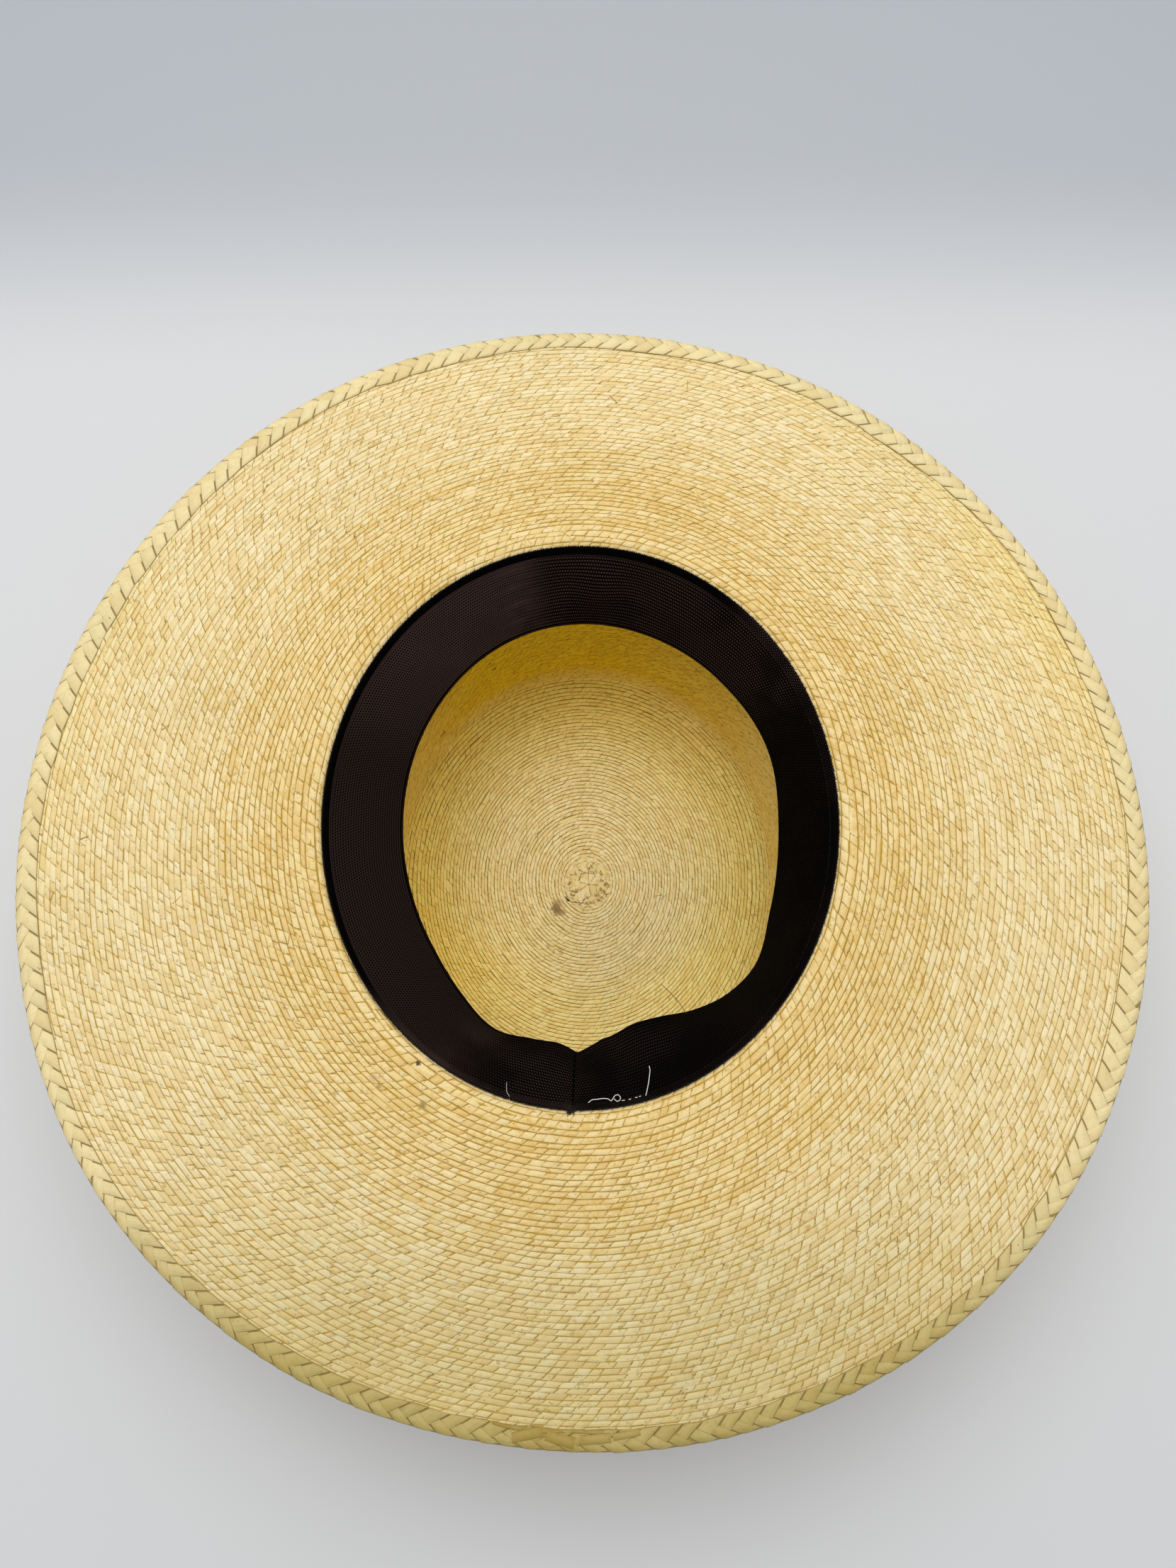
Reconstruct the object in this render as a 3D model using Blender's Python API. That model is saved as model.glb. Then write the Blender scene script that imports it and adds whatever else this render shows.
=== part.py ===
# A cordobes hat of woven palm, lying upside down on the flat tip of its crown.
# Metres, +Z up. The origin is on the surface that the tip rests on, below the middle of the brim.
# +Y is the hat's front. The sweatband's seam is at the back, towards -Y.

from collections import namedtuple
from math import atan2, cos, degrees, pi, radians, sin, sqrt

import bmesh
import bpy
from mathutils import Vector

MM = 0.001
COLUMNS = 80                  # facets round the hat

STRAW = 1.6 * MM              # the woven wall's thickness
GAP = 0.3 * MM                # clearance between neighbouring pieces

# An oval in plan: its half width, half length and middle.
Oval = namedtuple("Oval", "half_width half_length x y")

# Crown, all on its inner face. The tip is flat and the wall widens a little towards the head opening.
CROWN_HEIGHT = 115 * MM       # from the tip's outer face to the brim's upper face
TIP = Oval(70 * MM, 80 * MM, 0.8 * MM, 2.7 * MM)
TIP_CORNER = 9 * MM           # radius between the tip and the wall
MOUTH = Oval(86.0 * MM, 96.2 * MM, -0.7 * MM, 6.8 * MM)

# Brim
BRIM_RADIUS = 191 * MM        # over the edge binding
BREAK_RADIUS = 5 * MM         # the roll where the wall turns out into the brim
COLLAR = 2 * MM               # straight stretch of wall below the roll
EDGE_SAG = 1.5 * MM           # how far the brim's edge hangs under its own weight

# The edge's slow waves: how far it rises, and how far it stands out from the brim's circle.
Wave = namedtuple("Wave", "azimuth rise_mm out_mm")
EDGE_WAVES = (
    Wave(0, -0.8, -0.4),
    Wave(20, -1.8, -0.4),
    Wave(45, -0.9, -0.5),
    Wave(90, 0.4, 0.3),
    Wave(125, 1.4, 0.1),
    Wave(165, -1.1, -0.2),
    Wave(190, -0.4, -0.2),
    Wave(215, 0.9, 0.6),
    Wave(240, -0.8, -0.2),
    Wave(262, -1.6, -1.3),
    Wave(285, -0.1, -0.1),
    Wave(315, 2.1, 1.3),
    Wave(342, 1.1, 0.0),
)

# Edge binding, a flat plait folded over the brim's edge
BRAID = 1.0 * MM
BRAID_WIDTH = 8.3 * MM        # of each half, above and below

# Sweatband, an elastic strip. Its lip is sewn to the roll and its face leans into the hollow.
BAND = 1.0 * MM
LIP_TOP = radians(50)         # places on the roll, from the wall's 0 to the brim's 90
LIP_FOOT = radians(15)
FACE_WIDTH = 35 * MM
NOTCH_AT = radians(270)       # the seam pinches the free edge towards the wall
NOTCH_DEPTH = 3.6 * MM
NOTCH_HALF = radians(9)

# How far the face's free edge stands in from its stitched edge, by the way that the wall looks.
Lean = namedtuple("Lean", "azimuth reach_mm")
FACE_LEAN = (
    Lean(0, 12.3),
    Lean(20, 9.5),
    Lean(40, 11.0),
    Lean(65, 12.8),
    Lean(90, 13.5),
    Lean(120, 14.8),
    Lean(150, 17.3),
    Lean(185, 20.5),
    Lean(210, 21.3),
    Lean(225, 19.5),
    Lean(240, 16.7),
    Lean(252, 18.7),
    Lean(270, 20.2),
    Lean(280, 21.0),
    Lean(290, 23.0),
    Lean(300, 21.2),
    Lean(310, 16.3),
    Lean(320, 11.7),
    Lean(330, 9.5),
    Lean(342, 12.0),
)


def oval_point(oval, turn, grow, z):
    """A point on an oval that is grown by one offset all round, at a column's turn."""
    return Vector((oval.x + (oval.half_width + grow) * cos(turn),
                   oval.y + (oval.half_length + grow) * sin(turn), z))


def mix_ovals(low, high, share):
    """The oval that lies a share of the way from one oval to another."""
    return Oval(*(a + (b - a) * share for a, b in zip(low, high)))


def ring(point_at):
    """One point for each column, going round from +X through +Y."""
    return [point_at(2 * pi * column / COLUMNS) for column in range(COLUMNS)]


def wall_ring(z):
    """The crown wall's inner face at a height between the tip's corner and the roll."""
    foot_z = STRAW + TIP_CORNER
    share = (z - foot_z) / (CROWN_HEIGHT - BREAK_RADIUS - foot_z)
    foot = Oval(TIP.half_width + TIP_CORNER, TIP.half_length + TIP_CORNER, TIP.x, TIP.y)
    oval = mix_ovals(foot, MOUTH, share)
    return ring(lambda turn: oval_point(oval, turn, 0, z))


def roll_point(turn, angle, inside=0.0):
    """A point on the roll between wall and brim, or a distance inside it, towards the hollow."""
    radius = BREAK_RADIUS + inside
    return oval_point(MOUTH, turn, BREAK_RADIUS - radius * cos(angle),
                      CROWN_HEIGHT - BREAK_RADIUS + radius * sin(angle))


def read_round(table, column, azimuth):
    """A smooth closed curve through one column of a table whose rows go round the hat."""
    rows = len(table)
    after = next((i for i, row in enumerate(table) if row.azimuth > azimuth), rows)
    picked = [table[(after + step) % rows] for step in (-2, -1, 0, 1)]
    start = picked[1].azimuth
    share = (azimuth - start) / ((picked[2].azimuth - start) % 360)
    before, low, high, beyond = (getattr(row, column) for row in picked)
    return low + 0.5 * share * (
        high - before + share * (2 * before - 5 * low + 4 * high - beyond
                                 + share * (3 * (low - high) + beyond - before)))


def plate_ends(turn):
    """Where a column of the flat brim starts at the roll, and where it ends at the edge."""
    start = oval_point(MOUTH, turn, BREAK_RADIUS, CROWN_HEIGHT)
    radius = BRIM_RADIUS - BRAID - GAP + read_round(EDGE_WAVES, "out_mm", degrees(turn)) * MM
    end = Vector((radius * cos(turn), radius * sin(turn), CROWN_HEIGHT))
    return start, end


def plate_point(turn, share):
    """A point on the brim's upper face, which sags and waves more towards its edge."""
    start, end = plate_ends(turn)
    point = start.lerp(end, share)
    point.z += (read_round(EDGE_WAVES, "rise_mm", degrees(turn)) * MM - EDGE_SAG) * share ** 2
    return point


def face_reach(azimuth):
    """How far the sweatband leans in where the wall looks this way, less the seam's notch."""
    away = abs(radians(azimuth) - NOTCH_AT)
    notch = NOTCH_DEPTH * max(0.0, 1 - away / NOTCH_HALF)
    return read_round(FACE_LEAN, "reach_mm", azimuth) * MM - notch


def face_point(turn, share):
    """A point on the sweatband's face, from its stitched edge at 0 to its free edge at 1."""
    out = Vector((cos(turn) / MOUTH.half_width, sin(turn) / MOUTH.half_length, 0)).normalized()
    reach = face_reach(degrees(atan2(out.y, out.x)) % 360)
    drop = sqrt(FACE_WIDTH ** 2 - reach ** 2)
    stitched = roll_point(turn, LIP_FOOT, GAP + BAND)
    return stitched - share * (reach * out + drop * Vector((0, 0, 1)))


def material(name, colour, roughness):
    """A plain finish of one colour."""
    made = bpy.data.materials.new(name)
    made.use_nodes = True
    shader = made.node_tree.nodes["Principled BSDF"]
    shader.inputs["Base Color"].default_value = (*colour, 1)
    shader.inputs["Roughness"].default_value = roughness
    shader.inputs["Metallic"].default_value = 0
    return made


def add_object(name, mesh_builder, finish):
    """Put a bmesh into the scene as one smooth named piece."""
    mesh = bpy.data.meshes.new(name)
    mesh_builder.to_mesh(mesh)
    mesh_builder.free()
    mesh.shade_smooth()
    mesh.set_sharp_from_angle(angle=radians(40))
    mesh.materials.append(finish)
    piece = bpy.data.objects.new(name, mesh)
    bpy.context.collection.objects.link(piece)
    return piece


def bridge(builder, low, high):
    """Quads between two rings of vertices, facing away from the hat's hollow."""
    for column, low_here in enumerate(low):
        following = (column + 1) % len(low)
        builder.faces.new((low_here, low[following], high[following], high[column]))


def add_wall(name, rings, thickness, finish, middle=None):
    """A wall whose inner face passes through rings of points, thickened away from the hollow."""
    builder = bmesh.new()
    rows = [[builder.verts.new(point) for point in points] for points in rings]
    for low, high in zip(rows, rows[1:]):
        bridge(builder, low, high)
    if middle is not None:
        hub = builder.verts.new(middle)
        first = rows[0]
        for column, here in enumerate(first):
            builder.faces.new((hub, first[(column + 1) % len(first)], here))
    piece = add_object(name, builder, finish)
    solidify = piece.modifiers.new("thickness", "SOLIDIFY")
    solidify.thickness = thickness
    solidify.offset = 1
    solidify.use_even_offset = True
    return piece


def make_crown(straw):
    """The flat tip, its rounded corner and the wall up to just below the roll."""
    rings = [ring(lambda turn, share=share: oval_point(
        mix_ovals(Oval(0, 0, TIP.x, TIP.y), TIP, share), turn, 0, STRAW)) for share in (0.5, 1)]
    for angle in (radians(a) for a in (22, 45, 67)):
        rings.append(ring(lambda turn, angle=angle: oval_point(
            TIP, turn, TIP_CORNER * sin(angle), STRAW + TIP_CORNER * (1 - cos(angle)))))
    top = CROWN_HEIGHT - BREAK_RADIUS - COLLAR - GAP
    foot = STRAW + TIP_CORNER
    rings += [wall_ring(foot + (top - foot) * share) for share in (0, 0.25, 0.5, 0.75, 1)]
    add_wall("crown", rings, STRAW, straw, middle=(TIP.x, TIP.y, STRAW))


def make_brim(straw):
    """The collar in line with the wall, the roll, and the wide plate."""
    rings = [wall_ring(CROWN_HEIGHT - BREAK_RADIUS - COLLAR)]
    rings += [ring(lambda turn, angle=angle: roll_point(turn, radians(angle)))
              for angle in (0, 22, 45, 67)]
    rings += [ring(lambda turn, share=share: plate_point(turn, share))
              for share in (0, 0.18, 0.36, 0.54, 0.72, 0.9, 1)]
    add_wall("brim", rings, STRAW, straw)


def braid_section(turn):
    """The binding's section at one column, a narrow U over the brim's edge, going round it once."""
    start, end = plate_ends(turn)
    share_in = 1 - BRAID_WIDTH / (end - start).length
    inner = plate_point(turn, share_in)
    edge = plate_point(turn, 1)
    out = Vector((cos(turn), sin(turn), 0))
    up = Vector((0, 0, 1))
    middle = edge - up * STRAW / 2
    half = STRAW / 2 + GAP        # from the middle of the straw to the binding's inner side
    corner = half + BRAID
    return [
        inner + up * GAP,
        inner + up * (GAP + BRAID),
        edge + up * (GAP + BRAID),
        middle + out * 0.8 * (GAP + BRAID) + up * 0.7 * corner,
        middle + out * (GAP + BRAID),
        middle + out * 0.8 * (GAP + BRAID) - up * 0.7 * corner,
        edge - up * (STRAW + GAP + BRAID),
        inner - up * (STRAW + GAP + BRAID),
        inner - up * (STRAW + GAP),
        middle + out * GAP - up * half,
        middle + out * GAP + up * half,
    ]


def make_edge_braid(plait):
    """The plaited binding, all the way round the brim's edge."""
    builder = bmesh.new()
    sections = [[builder.verts.new(point) for point in section] for section in ring(braid_section)]
    for here, following in zip(sections, sections[1:] + sections[:1]):
        bridge(builder, here, following)
    bmesh.ops.recalc_face_normals(builder, faces=builder.faces)
    add_object("edge_braid", builder, plait)


def make_sweatband(elastic):
    """The elastic strip: the face from its free edge up to the stitching, and the lip on the roll."""
    rings = [ring(lambda turn, share=share: face_point(turn, share)) for share in (1, 0.66, 0.33)]
    middle_of_lip = (LIP_FOOT + LIP_TOP) / 2
    rings += [ring(lambda turn, angle=angle: roll_point(turn, angle, GAP + BAND))
              for angle in (LIP_FOOT, middle_of_lip, LIP_TOP)]
    add_wall("sweatband", rings, BAND, elastic)


def make_hat():
    for old in list(bpy.data.objects):
        bpy.data.objects.remove(old, do_unlink=True)
    make_crown(material("crown_straw", (0.70, 0.56, 0.27), 0.6))
    make_brim(material("brim_straw", (0.77, 0.63, 0.31), 0.6))
    make_edge_braid(material("braid_straw", (0.72, 0.60, 0.32), 0.45))
    make_sweatband(material("elastic", (0.012, 0.009, 0.008), 0.8))


make_hat()
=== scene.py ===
from math import pi, radians

import bmesh
import bpy
import numpy as np
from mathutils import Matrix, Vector


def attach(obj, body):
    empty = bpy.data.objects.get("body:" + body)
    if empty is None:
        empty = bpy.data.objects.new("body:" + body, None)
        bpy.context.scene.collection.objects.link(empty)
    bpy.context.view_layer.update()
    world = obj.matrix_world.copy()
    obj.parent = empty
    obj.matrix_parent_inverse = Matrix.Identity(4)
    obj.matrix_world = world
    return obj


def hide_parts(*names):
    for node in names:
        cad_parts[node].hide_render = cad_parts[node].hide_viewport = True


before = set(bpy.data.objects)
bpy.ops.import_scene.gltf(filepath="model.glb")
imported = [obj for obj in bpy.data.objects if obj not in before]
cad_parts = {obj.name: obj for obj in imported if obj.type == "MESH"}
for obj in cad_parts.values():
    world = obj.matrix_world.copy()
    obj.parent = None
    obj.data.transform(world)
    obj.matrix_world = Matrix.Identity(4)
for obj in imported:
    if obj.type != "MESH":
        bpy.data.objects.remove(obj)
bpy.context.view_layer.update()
print("frame loaded")

mm = 0.001

# The hat's own measures, the same as its solids are made from.
# An oval is its half width, half length and the middle's x and y.
hat = {
    "columns": 160,            # facets round each base skin
    "straw": 1.6 * mm,         # the woven wall's thickness
    "gap": 0.3 * mm,
    "crownHeight": 115 * mm,
    "tip": np.array([70.0, 80.0, 0.8, 2.7]) * mm,
    "tipCorner": 9 * mm,
    "buttonShift": np.array([1.4, -3.1]) * mm,     # from the tip's middle to the weave's
    "mouth": np.array([86.0, 96.2, -0.7, 6.8]) * mm,
    "brimRadius": 191 * mm,
    "rollRadius": 5 * mm,
    "edgeSag": 1.5 * mm,
    "braid": 1.0 * mm,
    # azimuth, how far the brim's edge rises there, how far it stands out
    "edgeWaves": [(0, -0.8, -0.4), (20, -1.8, -0.4), (45, -0.9, -0.5), (90, 0.4, 0.3),
                  (125, 1.4, 0.1), (165, -1.1, -0.2), (190, -0.4, -0.2), (215, 0.9, 0.6),
                  (240, -0.8, -0.2), (262, -1.6, -1.3), (285, -0.1, -0.1), (315, 2.1, 1.3),
                  (342, 1.1, 0.0)],
}


# Curves and surfaces of the hat, as functions of the turn round it in radians.

def readRound(table, column, azimuth):
    # a smooth closed curve through one column of a table whose rows go round the hat
    places = np.array([row[0] for row in table], float)
    heights = np.array([row[column] for row in table], float)
    azimuth = np.asarray(azimuth, float) % 360
    after = np.searchsorted(places, azimuth, side="right")
    before, low, high, beyond = (heights[(after + step) % len(places)] for step in (-2, -1, 0, 1))
    start = places[(after - 1) % len(places)]
    end = places[after % len(places)]
    share = ((azimuth - start) % 360) / ((end - start) % 360)
    return low + 0.5 * share * (
        high - before + share * (2 * before - 5 * low + 4 * high - beyond
                                 + share * (3 * (low - high) + beyond - before)))


def ovalRing(oval, turn, grow, z):
    turn = np.asarray(turn, float)
    return np.stack([oval[2] + (oval[0] + grow) * np.cos(turn),
                     oval[3] + (oval[1] + grow) * np.sin(turn),
                     np.broadcast_to(z, turn.shape)], axis=-1)


def tipRing(turn, share):
    # on the flat tip, from its middle at 0 to its rounded corner at 1
    oval = hat["tip"] * np.array([share, share, 1, 1])
    oval[2:] += hat["buttonShift"] * (1 - share) ** 2
    return ovalRing(oval, turn, 0, hat["straw"])


def cornerRing(turn, angle):
    # on the rounded corner between tip and wall
    corner = hat["tipCorner"]
    return ovalRing(hat["tip"], turn, corner * np.sin(angle),
                    hat["straw"] + corner * (1 - np.cos(angle)))


def wallRing(turn, share):
    # on the crown's wall, from the corner at 0 to the foot of the roll at 1
    foot = hat["tip"] + np.array([1, 1, 0, 0]) * hat["tipCorner"]
    footZ = hat["straw"] + hat["tipCorner"]
    topZ = hat["crownHeight"] - hat["rollRadius"]
    oval = foot + (hat["mouth"] - foot) * share
    return ovalRing(oval, turn, 0, footZ + (topZ - footZ) * share)


def rollRing(turn, angle, inside=0.0):
    # on the roll from the wall's angle 0 to the brim's 90, or a distance inside it
    radius = hat["rollRadius"] + inside
    return ovalRing(hat["mouth"], turn, hat["rollRadius"] - radius * np.cos(angle),
                    hat["crownHeight"] - hat["rollRadius"] + radius * np.sin(angle))


def plateRing(turn, share):
    # on the brim's upper face, from the roll at 0 to its edge at 1
    turn = np.asarray(turn, float)
    share = np.broadcast_to(share, turn.shape)[..., None]
    start = ovalRing(hat["mouth"], turn, hat["rollRadius"], hat["crownHeight"])
    waves = hat["edgeWaves"]
    azimuth = np.degrees(turn)
    radius = hat["brimRadius"] - hat["braid"] - hat["gap"] + readRound(waves, 2, azimuth) * mm
    end = np.stack([radius * np.cos(turn), radius * np.sin(turn),
                    np.full(turn.shape, hat["crownHeight"])], axis=-1)
    point = start + (end - start) * share
    point[..., 2] += (readRound(waves, 1, azimuth) * mm - hat["edgeSag"]) * share[..., 0] ** 2
    return point


def roundTurns(count):
    return np.arange(count) / count * 2 * pi


# Meshes

def newPiece(name, data):
    piece = bpy.data.objects.new(name, data)
    bpy.context.scene.collection.objects.link(piece)
    return piece


def dressPiece(piece, node):
    # the hat is one body, and each piece shows instead of one of its solids
    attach(piece, "root")
    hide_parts(node)


def gridMesh(name, rings, closedRound=True, flip=False, pole=False):
    # Quads between rings of points, with a UV map that counts the turn in u and the rows in v.
    rings = np.asarray(rings)
    rows, columns = rings.shape[:2]
    spans = columns if closedRound else columns - 1
    row, column = np.indices((rows - 1, spans)).reshape(2, -1)
    corners = [(0, 0), (0, 1), (1, 1), (1, 0)][::-1 if flip else 1]
    faces = np.stack([(row + up) * columns + (column + right) % columns
                      for up, right in corners], axis=1).tolist()
    places = np.stack([[(column + right) / spans, (row + up) / (rows - 1)]
                       for up, right in corners]).transpose(2, 0, 1).reshape(-1, 2).tolist()
    if pole:                            # one small face closes the first ring
        faces.append(list(range(columns))[::1 if flip else -1])
        places += [(step / columns, 0) for step in range(columns)]
    mesh = bpy.data.meshes.new(name)
    mesh.from_pydata(rings.reshape(-1, 3).tolist(), [], faces)
    spots = mesh.uv_layers.new(name="UVMap")
    spots.data.foreach_set("uv", np.array(places, np.float32).ravel())
    mesh.shade_smooth()
    mesh.update()
    return mesh


def offsetRings(rings, depth):
    # The same rings moved along the surface's normal, away from the hollow for a positive depth.
    rings = np.asarray(rings)
    along = np.roll(rings, -1, axis=1) - np.roll(rings, 1, axis=1)
    across = np.gradient(rings, axis=0)
    normal = np.cross(along, across)
    flat = np.linalg.norm(normal, axis=-1, keepdims=True)
    normal = np.where(flat > 1e-12, normal / np.maximum(flat, 1e-12), [0, 0, -1.0])
    return rings + normal * depth


def ringLengths(rings):
    return np.linalg.norm(np.roll(rings, -1, axis=1) - rings, axis=-1).sum(axis=1)


# Nodes: one wrapper for a tree and one of its sockets, used for materials and for geometry.

class NodeValue:
    def __init__(self, tree, socket):
        self.tree = tree
        self.socket = socket

    def maths(self, operation, *values):
        return addNode(self.tree, "ShaderNodeMath", {"operation": operation},
                       dict(enumerate(values)))

    def __add__(self, other):
        return self.maths("ADD", self, other)

    def __radd__(self, other):
        return self.maths("ADD", other, self)

    def __sub__(self, other):
        return self.maths("SUBTRACT", self, other)

    def __rsub__(self, other):
        return self.maths("SUBTRACT", other, self)

    def __mul__(self, other):
        return self.maths("MULTIPLY", self, other)

    def __rmul__(self, other):
        return self.maths("MULTIPLY", other, self)

    def __truediv__(self, other):
        return self.maths("DIVIDE", self, other)

    def __rtruediv__(self, other):
        return self.maths("DIVIDE", other, self)

    def __mod__(self, other):
        return self.maths("MODULO", self, other)

    def __gt__(self, other):
        return self.maths("GREATER_THAN", self, other)

    def __lt__(self, other):
        return self.maths("LESS_THAN", self, other)

    def __abs__(self):
        return self.maths("ABSOLUTE", self)

    def largest(self, other):
        return self.maths("MAXIMUM", self, other)

    def smallest(self, other):
        return self.maths("MINIMUM", self, other)

    def fraction(self):
        return self.maths("FRACT", self)

    def floor(self):
        return self.maths("FLOOR", self)

    def root(self):
        return self.maths("SQRT", self)

    def lay(self, colour, share, blend="MIX"):
        return mixColours(self, colour, share, blend)


def feed(socket, value):
    if isinstance(value, NodeValue):
        value.tree.links.new(value.socket, socket)
    else:
        socket.default_value = value


def addNode(tree, kind, settings=None, sockets=None, output=0):
    # Settings come first, because they can change which sockets a node has.
    node = tree.nodes.new(kind)
    for name, value in (settings or {}).items():
        if name == "stops":
            ramp = node.color_ramp
            while len(ramp.elements) < len(value):
                ramp.elements.new(0.5)
            for element, (place, colour) in zip(ramp.elements, value):
                element.position = place
                element.color = (*colour, 1)
        else:
            setattr(node, name, value)
    for name, value in (sockets or {}).items():
        feed(node.inputs[name], value)
    return NodeValue(tree, node.outputs[output])


def mixValues(low, high, share):
    return low + (high - low) * share


def mixVectors(low, high, share):
    return addNode(share.tree, "ShaderNodeMix", {"data_type": "VECTOR"},
                   {0: share, 4: low, 5: high}, output=1)


def mixColours(low, high, share, blend="MIX"):
    low, high = (colour if isinstance(colour, NodeValue) else (*colour, 1)
                 for colour in (low, high))
    return addNode(share.tree, "ShaderNodeMix", {"data_type": "RGBA", "blend_type": blend},
                   {0: share, 6: low, 7: high}, output=2)


def smoothMask(value, start, end):
    return addNode(value.tree, "ShaderNodeMapRange", {"interpolation_type": "SMOOTHSTEP"},
                   {"Value": value, "From Min": start, "From Max": end})


def readAttribute(tree, name, output):
    return addNode(tree, "ShaderNodeAttribute", {"attribute_name": name}, output=output)


def noise(vector, scale, detail=2.0, roughness=0.5):
    return addNode(vector.tree, "ShaderNodeTexNoise", sockets={
        "Vector": vector, "Scale": scale, "Detail": detail, "Roughness": roughness})


def vectorMaths(operation, first, second, output=0):
    return addNode(first.tree, "ShaderNodeVectorMath", {"operation": operation},
                   {0: first, 1: second}, output)


def distance(first, second):
    return vectorMaths("DISTANCE", first, second, 1)


def combine(x, y, z):
    return addNode(x.tree, "ShaderNodeCombineXYZ", sockets={0: x, 1: y, 2: z})


def splitVector(vector):
    split = addNode(vector.tree, "ShaderNodeSeparateXYZ", sockets={0: vector})
    return [NodeValue(vector.tree, socket) for socket in split.socket.node.outputs]


def newMaterial(name, roughness, specular):
    material = bpy.data.materials.new(name)
    material.use_nodes = True
    tree = material.node_tree
    inputs = tree.nodes["Principled BSDF"].inputs
    inputs["Roughness"].default_value = roughness
    inputs["Specular IOR Level"].default_value = specular
    return material, tree, inputs, addNode(tree, "ShaderNodeTexCoord", output=3)


def bump(height, strength, distance):
    return addNode(height.tree, "ShaderNodeBump", sockets={
        "Height": height, "Strength": strength, "Distance": distance})


# Materials

strawLook = {
    "tones": [(0.0, (0.42, 0.25, 0.08)), (0.045, (0.83, 0.63, 0.29)), (0.25, (0.89, 0.71, 0.36)),
              (0.6, (0.92, 0.76, 0.41)), (0.9, (0.94, 0.80, 0.48)), (1.0, (0.87, 0.75, 0.44))],
    "fibre": (0.70, 0.50, 0.19),
    "scratch": (0.62, 0.41, 0.13),
    "blotch": (0.76, 0.55, 0.21),
    "dirt": (0.70, 0.62, 0.36),
    "fray": (0.46, 0.26, 0.045),
    "frayShare": 0.55,
    "fleck": (0.20, 0.115, 0.03),
    # scale, detail and roughness of the noises that lie over many strands
    "noises": [(330, 4.0, 0.65), (17, 2.0, 0.5), (900, 2.0, 0.6), (560, 2.0, 0.5)],
    "gapColour": (0.37, 0.21, 0.015),
    "markColour": (0.42, 0.245, 0.02),
    "lineShare": (0.25, 0.72),           # noise at which row lines begin and are full
    "lineWidth": 4.8,                    # of the row lines, in gap widths
    "endWidth": 3.0,
    "nearShadeTint": (0.80, 0.80, 0.70),      # painted shade: the straw is darker at the viewer's side, where less light falls
    # what follows is for the side that shows in the photograph
    "inHollow": True,
    "wallTint": (1.13, 1.08, 0.52),
    "farTint": (0.95, 0.84, 0.03),
    "tipTint": (1.09, 1.09, 0.98),
    "tipNearTint": (0.88, 0.93, 1.06),
    "tipLine": (0.25, 0.175, 0.025),
    "opening": (91.3 * mm, 101.2 * mm, 6.8 * mm),        # half width, half length, middle's y
    "openingTint": (0.97, 0.91, 0.76),
    "openingLine": (0.36, 0.20, 0.012),
    "honey": (0.78, 0.53, 0.15),
    "button": (2.2 * mm, -0.4 * mm, 1.7 * mm),
    "worn": (0.30, 0.18, 0.03),
    "wornRadius": 7.3 * mm,              # of the brown ring round the button
    "frayRadius": 31.2 * mm,             # of the row with frayed ends
    # place and radius in mm, softness, colour and strength of the marks on this hat
    "spots": [((-11.9, -10.2, 1.8), 1.9, 0.5, (0.24, 0.14, 0.045), 0.85),
              ((-11.4, -11.9, 1.8), 1.8, 0.5, (0.26, 0.155, 0.05), 0.8),
              ((-11.0, -8.6, 1.8), 2.1, 0.6, (0.42, 0.28, 0.10), 0.6),
              ((-9.0, -12.2, 1.8), 1.5, 0.6, (0.36, 0.23, 0.08), 0.65),
              ((-52.7, -75.5, 114.9), 0.8, 0.3, (0.03, 0.02, 0.012), 0.95),
              ((-66.9, -80.2, 115.2), 1.2, 0.5, (0.42, 0.36, 0.27), 0.45),
              ((-51.0, -88.5, 115.2), 1.1, 0.6, (0.16, 0.10, 0.035), 0.7),
              ((-65.0, -82.6, 115.2), 0.8, 0.6, (0.20, 0.13, 0.05), 0.6)],
    # ends and half widths at both ends in mm, and strength, of the open crack beside the button,
    # painted black for the shade inside it
    "cracks": [((-7.7, -5.8, 1.7), (-6.8, -7.1, 1.7), 0.22, 0.36, 1.0),
               ((-6.8, -7.1, 1.7), (-5.2, -7.9, 1.7), 0.36, 0.18, 1.0),
               ((-5.2, -7.9, 1.7), (-1.2, -8.5, 1.7), 0.20, 0.15, 0.9),
               ((-1.2, -8.5, 1.7), (2.8, -8.0, 1.7), 0.15, 0.06, 0.8)],
    "crackShadeColour": (0.012, 0.008, 0.005),
}


def nearSpot(place, centre, radius, soft):
    # one on a spot of the hat, nought away from it, with a ragged rim
    rim = noise(place, 900, 3.0, 0.8) * (radius * 2.4)
    return smoothMask(distance(place, centre) + rim - radius * 1.2,
                      radius * (1 + soft), radius * (1 - soft))


def nearLine(place, start, end, startWidth, endWidth):
    # one along a line of the hat that tapers from its start to its end
    along = vectorMaths("DOT_PRODUCT", vectorMaths("SUBTRACT", place, start),
                        (end - start) / ((end - start) ** 2).sum(), 1)
    along = along.largest(0.0).smallest(1.0)
    width = mixValues(startWidth, endWidth, along) * (0.4 + 1.2 * noise(place, 900))
    return smoothMask(distance(place, mixVectors(start, end, along)), width * 1.4, width * 0.6)


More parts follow.
